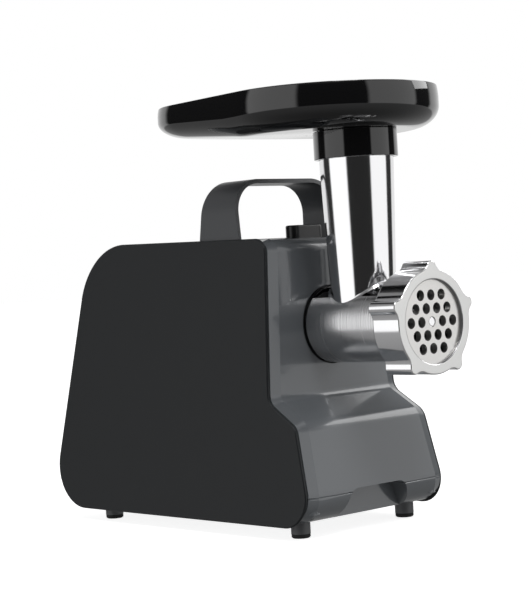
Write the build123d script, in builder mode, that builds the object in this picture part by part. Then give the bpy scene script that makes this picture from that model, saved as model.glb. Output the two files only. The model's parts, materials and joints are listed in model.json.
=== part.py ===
from build123d import *
from math import atan2, cos, degrees, pi, radians, sin, sqrt, tan
import os

# An electric meat grinder for the kitchen worktop, in millimetres.
# +Z is up, the grinding head points to -Y, and X is the left-right symmetry axis.
# The origin is on the worktop, under the middle of the whole machine.

# ---------------------------------------------------------------- driving sizes
# Housing, seen from the side. Distances in Y are measured from the throat's axis.
back_reach = 285.0          # throat axis to the rearmost point
body_bottom = 9.0           # lower edge of the side panels above the worktop
top_height = 212.7          # top edge of the side panels near the front
top_slope = 1.2             # the top rises to the back, degrees
back_lean = 13.4            # the back leans forward, degrees
front_reach = 36.1          # throat axis to the upper front wall, at the nook
front_lean = 1.3
nook_height = 95.9          # where the upper front wall meets the ledge
ledge_slope = 31.6
knee_reach = 8.8            # throat axis to the knee
knee_height = 79.1
skirt_lean = 12.6
heel_radius = 34.0
shoulder_radius = 54.0
brow_radius = 11.0
nook_radius = 11.0
knee_radius = 12.0
toe_radius = 21.6

# Housing, seen from the front.
base_half_width = 73.1      # at worktop level, over the side panels
side_lean = 4.0             # both sides lean inwards, degrees
wall = 2.6
panel_thickness = 2.6
flange_thickness = 3.0
flange_width = 9.0
rim_width = 7.8             # chamfered rim across the machine
rim_depth = 2.4             # chamfered rim square to the outline
front_pride = 2.8           # the grey front stands ahead of the side panels
base_shrink = 2.7           # the grey base ends above the panels' lower edge
seam_height = 30.0          # base pan below, upper housing above

# Grinding head.
barrel_height = 148.0       # barrel axis above the worktop
nut_reach = 66.3            # throat axis to the ring nut's front face
nut_depth = 24.6
plate_radius = 31.0         # the plate sets the size of the nut and barrel round it
plate_thickness = 5.0
hole_pitch = 0.345 * plate_radius
plate_hole = 0.355 * hole_pitch
nut_radius = plate_radius + 5.7
nut_lobe_tip = nut_radius + 5.6
nut_lip = 2.5
nut_opening = plate_radius - 1.8
barrel_radius = plate_radius - 3.0
barrel_bore = barrel_radius - 4.0
shank_radius = barrel_radius - 1.5
shank_length = 24.0
tube_top_radius = 26.6
tube_foot_radius = 22.6
tube_wall = 2.4

# Food tray, on top of the hopper tube.
tray_clearance = 28.6       # between the handle and the tray
tray_depth = 30.2
tray_wall = 2.6
tray_front_radius = 79.0
tray_front_centre = 25.0    # behind the throat axis
tray_back_radius = 67.0
tray_back_centre = 113.0
tray_corner = 13.0
tray_slope_start = 55.0     # behind the throat axis the floor starts to rise
tray_back_rise = 10.3       # by this much at the back
neck_wall = 3.2
neck_drop = 20.0

# Handle.
handle_rise = 44.7          # above the housing's top edge
handle_thickness = 3.2
handle_bend = 27.0
handle_foot_depth = 26.0    # how far the legs reach down inside the sides
handle_front = 69.0         # at the housing's top, from the throat axis
handle_back = 112.0
handle_front_rake = 7.0     # how far the front edge moves back to the top bar
handle_back_rake = 4.0

# Feet.
foot_radius = 7.0
foot_pad_height = 3.0
foot_half_spacing = 54.0
front_foot_reach = 22.6
back_foot_reach = 236.0

# Release button and latch.
button_width = 32.0
button_depth = 12.0
button_rise = 9.0
button_reach = 52.0
button_travel = 4.5
latch_thickness = 3.0

# Fits.
running_gap = 0.05          # shafts in bushes
slide_gap = 0.3             # pieces that slide apart
moving_gap = 0.8            # pieces that pass each other
seat_gap = 0.1              # screws in clearance holes

# ---------------------------------------------------------------- worked out from them
throat_y = (nut_reach - back_reach) / 2
handle_height = top_height + handle_rise
tube_top = handle_height + tray_clearance
tray_rim = tube_top + tray_depth
neck_radius = tube_top_radius + slide_gap + neck_wall
throat_radius = tube_top_radius - tube_wall - 0.6
tray_floor = tube_top + tray_wall
barrel_rear = throat_y + front_reach - front_pride - 1.0
shank_rear = barrel_rear + shank_length
nut_front = throat_y - nut_reach
nut_back = nut_front + nut_depth
plate_front = nut_front + nut_lip
plate_back = plate_front + plate_thickness
floor_top = body_bottom + base_shrink + wall


def side_line(reach, height, direction, out):
    """One straight side of the housing's outline, moved out square to itself."""
    turn = radians(direction)
    return (throat_y + reach + out * sin(turn), height - out * cos(turn), turn)


def crossing(first, second):
    """Where two of those lines meet, as a (y, z) point."""
    y1, z1, turn1 = first
    y2, z2, turn2 = second
    along = (y2 - y1) * sin(turn2) - (z2 - z1) * cos(turn2)
    along /= cos(turn1) * sin(turn2) - sin(turn1) * cos(turn2)
    return (y1 + along * cos(turn1), z1 + along * sin(turn1))


def body_outline(front, top, back, bottom):
    """Corners and corner radii of the side outline, each side moved out by its own amount."""
    heel_height = body_bottom + heel_radius
    back_at_heel = back_reach - heel_radius + heel_radius / cos(radians(back_lean))
    sides = [
        side_line(0, body_bottom, 0, bottom),
        side_line(back_at_heel, heel_height, 90 + back_lean, back),
        side_line(45.0, top_height, 180 + top_slope, top),
        side_line(front_reach, nook_height, 270 - front_lean, front),
        side_line(knee_reach, knee_height, 180 + ledge_slope, front),
        side_line(knee_reach, knee_height, 270 - skirt_lean, front),
    ]
    points = [crossing(sides[i], sides[(i + 1) % len(sides)]) for i in range(len(sides))]
    rounds = [
        heel_radius + back,
        shoulder_radius + top,
        brow_radius + top,
        nook_radius - front,
        knee_radius + front,
        toe_radius + bottom,
    ]
    return points, [max(radius, 1.0) for radius in rounds]


def side_plane(side, inset, y=0.0, z=0.0):
    """A plane on the leaning side of the machine, facing out; side is 1 or -1."""
    lean = radians(side_lean)
    x = base_half_width - inset / cos(lean) - z * tan(lean)
    return Plane(origin=(side * x, y, z), x_dir=(0, side, 0), z_dir=(side * cos(lean), 0, sin(lean)))


def body_solid(front, top, back, bottom, inset):
    """The housing's form between its two leaning sides, each brought in by inset."""
    points, rounds = body_outline(front, top, back, bottom)
    with BuildPart(mode=Mode.PRIVATE) as made:
        with BuildSketch(Plane.YZ):
            with BuildLine():
                FilletPolyline(*points, radius=rounds, close=True)
            make_face()
        extrude(amount=base_half_width + 20, both=True)
        for side in (1, -1):
            split(bisect_by=side_plane(side, inset), keep=Keep.BOTTOM)
    return made.part


def facing_front(y):
    """A plane square to the barrel; sketches on it are (x, z) and extrude towards the front."""
    return Plane(origin=(0, y, 0), x_dir=(1, 0, 0), z_dir=(0, -1, 0))


def finish(piece, name):
    """Label a finished piece and write it."""
    piece.label = name
    export_step(piece, f"parts/{name}.step")


def ring(y_back, length, outer, inner=0.0, x=0.0, z=barrel_height):
    """A plain disc or ring along Y, from y_back towards the front."""
    with BuildPart(mode=Mode.PRIVATE) as made:
        with BuildSketch(facing_front(y_back)):
            with Locations((x, z)):
                Circle(outer)
                if inner:
                    Circle(inner, mode=Mode.SUBTRACT)
        extrude(amount=length)
    return made.part


os.makedirs("parts", exist_ok=True)

# ---------------------------------------------------------------- housing belt
# The grey housing is one belt round the machine, with chamfered rims, flanges that carry
# the side panels, and a seam that divides it into the upper housing and the base pan.
with BuildPart() as belt:
    add(body_solid(front_pride, -0.6, -1.0, -base_shrink, panel_thickness))
    for side in (1, -1):
        rim_face = belt.faces().sort_by(Axis.X)[-1 if side > 0 else 0]
        chamfer(rim_face.edges(), rim_depth, rim_width, reference=rim_face)
    hollow = (front_pride - wall, -0.6 - wall, -1.0 - wall, -base_shrink - wall)
    add(body_solid(*hollow, panel_thickness + flange_thickness), mode=Mode.SUBTRACT)
    window = tuple(value - flange_width for value in hollow)
    add(body_solid(*window, -5.0), mode=Mode.SUBTRACT)

socket_outer = barrel_radius + moving_gap
socket_bore = shank_radius + slide_gap
gear_front = throat_y + 66.0
stem_half = 9.0
leg_top = top_height - 2.0
leg_bottom = top_height - handle_foot_depth
leg_inner = panel_thickness + handle_thickness + slide_gap

back_angle = radians(back_lean)


def back_plane(height, inset=0.0):
    """A plane on the leaning back wall at a height, facing out, x to the machine's left."""
    heel_height = body_bottom + heel_radius
    at_heel = back_reach - heel_radius + heel_radius / cos(back_angle)
    y = throat_y + at_heel - (height - heel_height) * tan(back_angle)
    out = -1.0 - inset
    return Plane(
        origin=(0, y + out * cos(back_angle), height + out * sin(back_angle)),
        x_dir=(-1, 0, 0),
        z_dir=(0, cos(back_angle), sin(back_angle)),
    )


switch_height = 128.0
switch_width = 30.0
switch_tall = 22.0
gland_height = 66.0
gland_radius = 7.5
vent_height = 92.0
vent_count = 5
vent_pitch = 7.0
case_screw_x = 60.5
case_screw_reach = (4.5, 276.0)
case_post_radius = 6.0

scoop_top = 32.5
scoop_top_half = 27.0
scoop_bottom_half = 39.0
scoop_depth = 17.0          # from the skirt's lower edge
skirt_foot = throat_y + knee_reach - (knee_height - body_bottom) * tan(radians(skirt_lean))
scoop_front = skirt_foot - 8.0
scoop_back = skirt_foot + scoop_depth
scoop_wall = 2.4


def scoop_sketch(grow):
    """The arched cut-out in the front of the base, seen from the front."""
    foot = body_bottom - 6
    with BuildSketch(facing_front(scoop_back + grow)) as made:
        with BuildLine():
            FilletPolyline(
                (-scoop_bottom_half - grow, foot),
                (-scoop_top_half - grow, scoop_top + grow),
                (scoop_top_half + grow, scoop_top + grow),
                (scoop_bottom_half + grow, foot),
                radius=9 + grow,
            )
            Line((scoop_bottom_half + grow, foot), (-scoop_bottom_half - grow, foot))
        make_face()
    return made.sketch


with BuildPart() as upper_housing:
    add(belt.part)
    split(bisect_by=Plane.XY.offset(seam_height), keep=Keep.TOP)
    # round opening for the grinding head
    with BuildSketch(facing_front(throat_y + front_reach + 10)):
        with Locations((0, barrel_height)):
            Circle(socket_outer)
    extrude(amount=40, mode=Mode.SUBTRACT)
    # slot for the release button
    with BuildSketch(Plane.XY.offset(top_height - 20)):
        with Locations((0, throat_y + button_reach + button_depth / 2)):
            SlotOverall(button_width + 2 * slide_gap, button_depth + 2 * slide_gap)
    extrude(amount=40, mode=Mode.SUBTRACT)
    # pockets for the handle's legs, in the rims behind the side panels
    for side in (1, -1):
        with BuildSketch(side_plane(side, -0.5, throat_y + (handle_front + handle_back) / 2, 0)):
            with Locations((0, (leg_bottom + leg_top + 20) / 2)):
                Rectangle(handle_back - handle_front + 6, leg_top - leg_bottom + 20 + 2 * slide_gap)
        extrude(amount=-(leg_inner + 0.5), mode=Mode.SUBTRACT)
    # power switch, cord gland and vents in the back wall
    with BuildSketch(back_plane(switch_height, 8)):
        Rectangle(switch_width, switch_tall)
    extrude(amount=20, mode=Mode.SUBTRACT)
    with BuildSketch(back_plane(gland_height, 8)):
        Circle(gland_radius)
    extrude(amount=20, mode=Mode.SUBTRACT)
    with BuildSketch(back_plane(vent_height, 8)):
        with GridLocations(0, vent_pitch, 1, vent_count):
            SlotOverall(56, 3)
    extrude(amount=20, mode=Mode.SUBTRACT)
    # the scoop in the front runs up past the seam
    add(extrude(scoop_sketch(0), amount=scoop_back - scoop_front, mode=Mode.PRIVATE), mode=Mode.SUBTRACT)
    # posts that take the case screws
    with BuildSketch(Plane.XY.offset(seam_height)):
        for reach in case_screw_reach:
            with Locations((case_screw_x, throat_y + reach), (-case_screw_x, throat_y + reach)):
                Circle(case_post_radius)
    extrude(amount=12)
    with BuildSketch(Plane.XY.offset(seam_height)):
        for reach in case_screw_reach:
            with Locations((case_screw_x, throat_y + reach), (-case_screw_x, throat_y + reach)):
                Circle(1.5)
    extrude(amount=10, mode=Mode.SUBTRACT)
finish(upper_housing.part, "upper_housing")

# ---------------------------------------------------------------- base pan
front_feet = throat_y + front_foot_reach
back_feet = throat_y + back_foot_reach
foot_spots = [
    (-foot_half_spacing, front_feet),
    (foot_half_spacing, front_feet),
    (-foot_half_spacing, back_feet),
    (foot_half_spacing, back_feet),
]
board_posts = [(x, throat_y + y) for x in (-30, 30) for y in (231, 255)]
board_post_height = 16.0


# The scoop's own inner wall is a block in the outline of the base, hollowed by the cut-out.
# Above the seam it stands behind the upper housing's wall.
with BuildPart() as scoop_block:
    add(extrude(scoop_sketch(scoop_wall), amount=scoop_back + scoop_wall - scoop_front, mode=Mode.PRIVATE))
    add(body_solid(front_pride, -0.6, -1.0, -base_shrink, 20.0), mode=Mode.INTERSECT)
    split(bisect_by=Plane.XY.offset(seam_height), keep=Keep.BOTTOM)
with BuildPart() as scoop_crown:
    add(extrude(scoop_sketch(scoop_wall), amount=scoop_back + scoop_wall - scoop_front, mode=Mode.PRIVATE))
    add(body_solid(*[value - seat_gap for value in hollow], 20.0), mode=Mode.INTERSECT)
    split(bisect_by=Plane.XY.offset(seam_height), keep=Keep.TOP)

with BuildPart() as base_pan:
    add(belt.part)
    split(bisect_by=Plane.XY.offset(seam_height), keep=Keep.BOTTOM)
    add(scoop_block.part)
    add(scoop_crown.part)
    add(extrude(scoop_sketch(0), amount=scoop_back - scoop_front, mode=Mode.PRIVATE), mode=Mode.SUBTRACT)
    # sockets for the feet, bosses under the case screws, and posts for the control board
    with BuildSketch(Plane.XY.offset(floor_top - 0.5)):
        for spot in foot_spots:
            with Locations(spot):
                Circle(foot_radius - 1.0)
    extrude(amount=6.5)
    with BuildSketch(Plane.XY.offset(floor_top + 4)):
        for reach in case_screw_reach:
            with Locations((case_screw_x, throat_y + reach), (-case_screw_x, throat_y + reach)):
                Circle(case_post_radius)
    extrude(amount=seam_height - floor_top - 4)
    with BuildSketch(Plane.XY.offset(floor_top - 0.5)):
        with Locations(*board_posts):
            Circle(4.0)
    extrude(amount=board_post_height + 0.5)
    with BuildSketch(Plane.XY.offset(floor_top)):
        with Locations(*board_posts):
            Circle(1.5)
    extrude(amount=board_post_height + 1, mode=Mode.SUBTRACT)
    with BuildSketch(Plane.XY.offset(body_bottom)):
        for spot in foot_spots:
            with Locations(spot):
                Circle(2.0)
        for reach in case_screw_reach:
            with Locations((case_screw_x, throat_y + reach), (-case_screw_x, throat_y + reach)):
                Circle(1.5 + seat_gap)
    extrude(amount=40, mode=Mode.SUBTRACT)
    # air slots under the motor
    with BuildSketch(Plane.XY.offset(body_bottom)):
        with Locations((0, throat_y + 190)):
            with GridLocations(0, 8, 1, 4):
                SlotOverall(60, 3)
    extrude(amount=10, mode=Mode.SUBTRACT)
finish(base_pan.part, "base_pan")

# ---------------------------------------------------------------- side panels
panel_round = 0.8
handle_mid = throat_y + (handle_front + handle_back) / 2
screw_height = leg_bottom + 7.0
screw_radius = 1.5
screw_bite = 1.5
leg_screws = [(-12, 0), (12, 0)]
for side, name in ((1, "right_side_panel"), (-1, "left_side_panel")):
    with BuildPart() as side_panel:
        add(body_solid(0, 0, 0, 0, 0))
        split(bisect_by=side_plane(side, panel_thickness), keep=Keep.TOP)
        outer_face = side_panel.faces().sort_by(Axis.X)[-1 if side > 0 else 0]
        chamfer(outer_face.edges(), panel_round)
        # blind holes for the screws that hold the handle's leg
        with BuildSketch(side_plane(side, panel_thickness, handle_mid, screw_height)):
            with Locations(*leg_screws):
                Circle(screw_radius)
        extrude(amount=screw_bite, mode=Mode.SUBTRACT)
    finish(side_panel.part, name)

# ---------------------------------------------------------------- carrying handle
# One band bent over the top: the legs lean in with the sides and end behind the panels.
lean_shift = tan(radians(side_lean))


def leg_x(height, inset):
    """Half the machine's width at a height, brought in by inset."""
    return base_half_width - height * lean_shift - inset


def handle_arch(inset, top, bend):
    """The closed outline under the band's outer or inner surface, as (x, z)."""
    with BuildSketch(facing_front(throat_y + handle_back + 10)) as made:
        with BuildLine():
            FilletPolyline(
                (leg_x(leg_bottom, inset), leg_bottom),
                (leg_x(top, inset), top),
                (-leg_x(top, inset), top),
                (-leg_x(leg_bottom, inset), leg_bottom),
                radius=bend,
            )
            Line((-leg_x(leg_bottom, inset), leg_bottom), (leg_x(leg_bottom, inset), leg_bottom))
        make_face()
    return made.sketch


handle_outer = panel_thickness + seat_gap
with BuildPart() as carry_handle:
    add(extrude(handle_arch(handle_outer, handle_height, handle_bend), amount=80, mode=Mode.PRIVATE))
    inner_arch = handle_arch(
        handle_outer + handle_thickness,
        handle_height - handle_thickness,
        handle_bend - handle_thickness,
    )
    add(extrude(inner_arch, amount=80, mode=Mode.PRIVATE), mode=Mode.SUBTRACT)
    # side view of the band: wider at the feet than at the grip
    with BuildSketch(Plane.YZ):
        with BuildLine():
            Polyline(
                (throat_y + handle_front, leg_bottom),
                (throat_y + handle_front, top_height),
                (throat_y + handle_front + handle_front_rake, handle_height + 1),
                (throat_y + handle_back - handle_back_rake, handle_height + 1),
                (throat_y + handle_back, top_height),
                (throat_y + handle_back, leg_bottom),
                close=True,
            )
        make_face()
    extrude(amount=base_half_width, both=True, mode=Mode.INTERSECT)
    # screw holes in the legs
    for side in (1, -1):
        with BuildSketch(side_plane(side, panel_thickness, handle_mid, screw_height)):
            with Locations(*leg_screws):
                Circle(screw_radius + seat_gap)
        extrude(amount=-8, mode=Mode.SUBTRACT)
finish(carry_handle.part, "carry_handle")

# ---------------------------------------------------------------- feet
foot_top = floor_top - wall
for number, spot in enumerate(foot_spots, start=1):
    with BuildPart() as foot:
        with BuildSketch(Plane.XY.offset(foot_pad_height)):
            with Locations(spot):
                Circle(foot_radius)
        extrude(amount=foot_top - foot_pad_height)
        with BuildSketch(Plane.XY.offset(foot_pad_height)):
            with Locations(spot):
                Circle(1.8)
        extrude(amount=foot_top - foot_pad_height + 8)
    finish(foot.part, f"foot_{number}")
    with BuildPart() as foot_pad:
        with BuildSketch():
            with Locations(spot):
                Circle(foot_radius - 0.2)
        extrude(amount=foot_pad_height)
        chamfer(foot_pad.edges().group_by(Axis.Z)[0], 0.8)
    finish(foot_pad.part, f"foot_pad_{number}")

# ---------------------------------------------------------------- grinding head
# One casting: the barrel with its shank and threaded end, and the hopper tube over it.
end_radius = nut_radius - 3.2 - slide_gap
recess_radius = plate_radius + seat_gap
head_front = plate_back - 3.4
rear_wall = 5.0
tail_radius = 9.0
keyway_width = 7.0
keyway_depth = 4.0
keyway_length = 14.0
with BuildPart() as grinding_head:
    with BuildSketch(Plane.XY.offset(barrel_height)):
        with Locations((0, throat_y)):
            Circle(tube_foot_radius)
    with BuildSketch(Plane.XY.offset(tube_top - neck_drop - 4)):
        with Locations((0, throat_y)):
            Circle(tube_top_radius)
    loft()
    with BuildSketch(Plane.XY.offset(tube_top - neck_drop - 4)):
        with Locations((0, throat_y)):
            Circle(tube_top_radius)
    extrude(amount=neck_drop + 4)
    add(ring(barrel_rear, barrel_rear - nut_back - 4, barrel_radius))
    fillet(
        grinding_head.edges().filter_by(lambda e: barrel_height < e.center().Z < barrel_height + 40),
        6.0,
    )
    with BuildSketch(facing_front(nut_back + 4)):
        with Locations((0, barrel_height)):
            Circle(barrel_radius)
    with BuildSketch(facing_front(nut_back - 2)):
        with Locations((0, barrel_height)):
            Circle(end_radius)
    loft()
    add(ring(nut_back - 2, nut_back - 2 - head_front, end_radius))
    add(ring(shank_rear, shank_length, shank_radius))
    # hollows: throat, barrel, plate recess and the shaft's hole in the rear wall
    with BuildSketch(Plane.XY.offset(barrel_height)):
        with Locations((0, throat_y)):
            Circle(tube_foot_radius - tube_wall)
    with BuildSketch(Plane.XY.offset(tube_top - neck_drop - 4)):
        with Locations((0, throat_y)):
            Circle(tube_top_radius - tube_wall)
    loft(mode=Mode.SUBTRACT)
    with BuildSketch(Plane.XY.offset(tube_top - neck_drop - 4)):
        with Locations((0, throat_y)):
            Circle(tube_top_radius - tube_wall)
    extrude(amount=neck_drop + 4, mode=Mode.SUBTRACT)
    add(ring(shank_rear - rear_wall, shank_rear - rear_wall - head_front, barrel_bore), mode=Mode.SUBTRACT)
    add(ring(plate_back + 7.0, plate_back + 7.0 - head_front, recess_radius), mode=Mode.SUBTRACT)
    add(ring(shank_rear, rear_wall, tail_radius + 2.0), mode=Mode.SUBTRACT)
    # keyway under the shank for the latch's tooth, open to the rear
    with BuildSketch(facing_front(shank_rear + 1)):
        with Locations((0, barrel_height - shank_radius)):
            Rectangle(keyway_width, 2 * keyway_depth)
    extrude(amount=keyway_length + 1, mode=Mode.SUBTRACT)
finish(grinding_head.part, "grinding_head")

# ---------------------------------------------------------------- ring nut
lobe_round = 4.6
lobe_fillet = 9.0
nut_lobes = 5
with BuildPart() as ring_nut:
    with BuildSketch(facing_front(nut_back)) as nut_outline:
        with Locations((0, barrel_height)):
            Circle(nut_radius)
            with PolarLocations(nut_lobe_tip - lobe_round, nut_lobes, start_angle=90):
                Circle(lobe_round)
        # the outline's only corners are where the lobes leave the ring
        fillet(nut_outline.vertices(), radius=lobe_fillet)
    extrude(amount=nut_depth)
    add(ring(nut_back, nut_depth, nut_opening), mode=Mode.SUBTRACT)
    add(ring(nut_back, nut_depth - nut_lip, end_radius + slide_gap), mode=Mode.SUBTRACT)
finish(ring_nut.part, "ring_nut")

# ---------------------------------------------------------------- grinding plate
stub_radius = 3.6
row_pitch = hole_pitch * sqrt(3) / 2
with BuildPart() as grinding_plate:
    add(ring(plate_back, plate_thickness, plate_radius))
    with BuildSketch(facing_front(plate_back)):
        with Locations((0, barrel_height)):
            for row in range(-2, 3):
                count = 5 - abs(row)
                for place in range(count):
                    x = (place - (count - 1) / 2) * hole_pitch
                    if row or x:
                        with Locations((x, row * row_pitch)):
                            Circle(plate_hole)
            Circle(stub_radius + running_gap)
    extrude(amount=plate_thickness, mode=Mode.SUBTRACT)
    chamfer(grinding_plate.faces().sort_by(Axis.Y)[0].outer_wire().edges(), 0.5)
finish(grinding_plate.part, "grinding_plate")

# ---------------------------------------------------------------- auger, blade and drive pin
blade_thickness = 6.0
blade_radius = plate_radius - 5.0
blade_back = plate_back + blade_thickness
square = 9.0
auger_radius = barrel_bore - 0.5
auger_core = 9.0
auger_front = blade_back + slide_gap
auger_back = shank_rear - rear_wall - 2.0
auger_turns = 3.0
flight_angle = 62.0
drive_square = 12.5
tail_reach = 22.0
tail_back = shank_rear + tail_reach

with BuildPart() as cutting_blade:
    with BuildSketch(facing_front(blade_back)):
        with Locations((0, barrel_height)):
            with PolarLocations(0, 4):
                with Locations((blade_radius / 2, 0)):
                    Trapezoid(blade_radius, 9, 96, 90, rotation=0)
            Circle(9.5)
            Rectangle(square + 2 * seat_gap, square + 2 * seat_gap, mode=Mode.SUBTRACT)
    extrude(amount=blade_thickness)
finish(cutting_blade.part, "cutting_blade")

with BuildSketch(Plane.XY) as flight_section:
    with BuildLine():
        reach = Vector(auger_radius, 0).rotate(Axis.Z, flight_angle / 2)
        Line((0, 0), (reach.X, -reach.Y))
        ThreePointArc((reach.X, -reach.Y), (auger_radius, 0), (reach.X, reach.Y))
        Line((reach.X, reach.Y), (0, 0))
    make_face()
    Circle(auger_core)
auger_length = auger_back - auger_front
flight = Solid.extrude_linear_with_rotation(
    flight_section.sketch.faces()[0].outer_wire(),
    center=(0, 0, 0),
    normal=(0, 0, auger_length),
    angle=360 * auger_turns,
)
auger_place = Plane(origin=(0, auger_back, barrel_height), x_dir=(1, 0, 0), z_dir=(0, -1, 0))
flight = auger_place.from_local_coords(flight)

with BuildPart() as auger:
    add(flight)
    # square end for the blade and the round stub that the plate carries
    with BuildSketch(facing_front(auger_front + 1)):
        with Locations((0, barrel_height)):
            Rectangle(square, square)
    extrude(amount=auger_front + 1 - plate_back)
    add(ring(plate_back, plate_thickness - 1.0, stub_radius))
    # journal through the rear wall and square tail for the gearbox
    add(ring(shank_rear, shank_rear - auger_back + 1, tail_radius))
    with BuildSketch(facing_front(tail_back)):
        with Locations((0, barrel_height)):
            Rectangle(drive_square, drive_square)
    extrude(amount=tail_reach + 1)
finish(auger.part, "auger")

with BuildPart() as auger_bush:
    add(ring(shank_rear, rear_wall, tail_radius + 2.0, tail_radius + running_gap))
    add(ring(shank_rear - rear_wall, 1.8, tail_radius + 5.0, tail_radius + running_gap))
finish(auger_bush.part, "auger_bush")

# ---------------------------------------------------------------- food tray
def tray_plan(height, grow):
    """The tray's rounded plan: a large arc at the front, a smaller one at the back."""
    with BuildSketch(Plane.XY.offset(height)) as made:
        with Locations((0, throat_y + tray_front_centre)):
            Circle(tray_front_radius + grow)
        with Locations((0, throat_y + tray_back_centre)):
            Circle(tray_back_radius + grow)
        make_hull()
    return made.sketch


tray_tail = throat_y + tray_back_centre + tray_back_radius


def tray_form(grow, floor, corner):
    """The dish's solid form: upright walls, and a floor that rises behind the throat."""
    start = throat_y + tray_slope_start
    with BuildPart(mode=Mode.PRIVATE) as made:
        with BuildSketch(Plane.YZ):
            with BuildLine():
                Polyline(
                    (-tray_tail - 100, tray_rim),
                    (tray_tail, tray_rim),
                    (tray_tail, floor + tray_back_rise),
                    (start, floor),
                    (-tray_tail - 100, floor),
                    close=True,
                )
            make_face()
        extrude(amount=tray_front_radius + 10, both=True)
        add(extrude(tray_plan(tray_rim, grow), amount=-60, mode=Mode.PRIVATE), mode=Mode.INTERSECT)
        floors = made.faces().sort_by(Axis.Z)[:2]
        crease = floors[0].edges() & floors[1].edges()
        fillet([edge for edge in floors[0].edges() + floors[1].edges() if edge not in crease], corner)
    return made.part


with BuildPart() as tray:
    add(tray_form(0, tube_top, tray_corner))
    add(tray_form(-tray_wall, tray_floor, tray_corner - tray_wall), mode=Mode.SUBTRACT)
    # neck that slips over the hopper tube, and the throat
    with BuildSketch(Plane.XY.offset(tube_top)):
        with Locations((0, throat_y)):
            Circle(neck_radius)
            Circle(tube_top_radius + slide_gap, mode=Mode.SUBTRACT)
    extrude(amount=-neck_drop)
    with BuildSketch(Plane.XY.offset(tube_top - 1)):
        with Locations((0, throat_y)):
            Circle(throat_radius)
    extrude(amount=tray_wall + 2, mode=Mode.SUBTRACT)
finish(tray.part, "tray")

# ---------------------------------------------------------------- release button and latch
# Pressing the button lowers a yoke round the head's shank. Its tooth stands in a keyway
# under the shank and leaves it when the yoke goes down.
button_y = throat_y + button_reach + button_depth / 2
button_top = top_height + button_rise
yoke_back = throat_y + 53.5
yoke_outer = 40.0
yoke_bore = socket_bore + 5.0
spring_radius = 5.0
tooth_width = 6.0
tooth_top = barrel_height - shank_radius + 3.0
with BuildPart() as release_button:
    with BuildSketch(Plane.XY.offset(top_height - 9)):
        with Locations((0, button_y)):
            SlotOverall(button_width, button_depth)
    extrude(amount=button_top - top_height + 9)
    fillet(release_button.faces().sort_by(Axis.Z)[-1].edges(), 1.2)
    # collar that stops the button under the housing
    with BuildSketch(Plane.XY.offset(top_height - 9)):
        with Locations((0, button_y)):
            SlotOverall(button_width + 6, button_depth + 4)
    extrude(amount=2.0)
finish(release_button.part, "release_button")

with BuildPart() as latch_yoke:
    with BuildSketch(facing_front(yoke_back)):
        with Locations((0, barrel_height)):
            Circle(yoke_outer)
        with Locations((0, barrel_height - yoke_outer + 2)):
            Rectangle(2 * spring_radius + 4, 6)
        with Locations((0, barrel_height + button_travel / 2)):
            SlotCenterToCenter(button_travel + 0.6, 2 * yoke_bore, rotation=90, mode=Mode.SUBTRACT)
        with Locations((0, (barrel_height + yoke_outer - 2 + top_height - 9) / 2)):
            Rectangle(2 * stem_half, top_height - 9 - barrel_height - yoke_outer + 2)
        with Locations((0, (tooth_top + barrel_height - yoke_outer + 2) / 2)):
            Rectangle(tooth_width, tooth_top - barrel_height + yoke_outer - 2)
    extrude(amount=latch_thickness)
finish(latch_yoke.part, "latch_yoke")

# ---------------------------------------------------------------- gear train, worked out
# Motor pinion -> first gear -> second gear -> output gear on the barrel's axis.
module_1, pinion_1, wheel_1 = 1.0, 11, 60
module_2, pinion_2, wheel_2 = 1.25, 11, 48
module_3, pinion_3, wheel_3 = 1.75, 12, 40
pressure = radians(22.0)
backlash = 0.12
gear_gap = 1.0              # between neighbouring gears along their shafts
case_wall = 3.0
gear_width = (9.0, 9.0, 12.0)


def centre_distance(module, small, large):
    return module * (small + large) / 2


def step_from(start, distance, angle):
    return (start[0] + distance * cos(radians(angle)), start[1] + distance * sin(radians(angle)))


output_axis = (0.0, barrel_height)
angle_3 = -60.0
second_axis = step_from(output_axis, centre_distance(module_3, pinion_3, wheel_3), angle_3)
angle_2 = 200.0
first_axis = step_from(second_axis, centre_distance(module_2, pinion_2, wheel_2), angle_2)
distance_1 = centre_distance(module_1, pinion_1, wheel_1)
angle_1 = -degrees(atan2(sqrt(distance_1**2 - first_axis[0] ** 2), -first_axis[0]))
motor_axis = step_from(first_axis, distance_1, angle_1)

plane_3 = gear_front + case_wall + gear_gap
plane_2 = plane_3 + gear_width[2] + gear_gap
plane_1 = plane_2 + gear_width[1] + gear_gap
case_back = plane_1 + gear_width[0] + gear_gap
cover_back = case_back + 4.0


def tooth_half_angle(radius, pitch_radius, teeth):
    """Half the angle that one involute tooth takes up at a radius."""
    base = pitch_radius * cos(pressure)
    at = max(radius, base)
    roll = sqrt((at / base) ** 2 - 1)
    involute = tan(pressure) - pressure - (roll - atan2(roll, 1))
    return pi / (2 * teeth) - backlash / (2 * pitch_radius) + involute


def gear_outline(axis, module, teeth, turn):
    """Closed outline of a spur gear about an axis, with one tooth's middle at turn degrees."""
    pitch_radius = module * teeth / 2
    root = pitch_radius - 1.15 * module
    tip = pitch_radius + 0.85 * module
    heights = [root, pitch_radius - 0.45 * module, pitch_radius, pitch_radius + 0.45 * module, tip]
    points = []
    for tooth in range(teeth):
        middle = radians(turn) + 2 * pi * tooth / teeth
        flank = [(r, tooth_half_angle(r, pitch_radius, teeth)) for r in heights]
        for r, half in flank:
            points.append((axis[0] + r * cos(middle - half), axis[1] + r * sin(middle - half)))
        for r, half in reversed(flank):
            points.append((axis[0] + r * cos(middle + half), axis[1] + r * sin(middle + half)))
    return points


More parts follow.
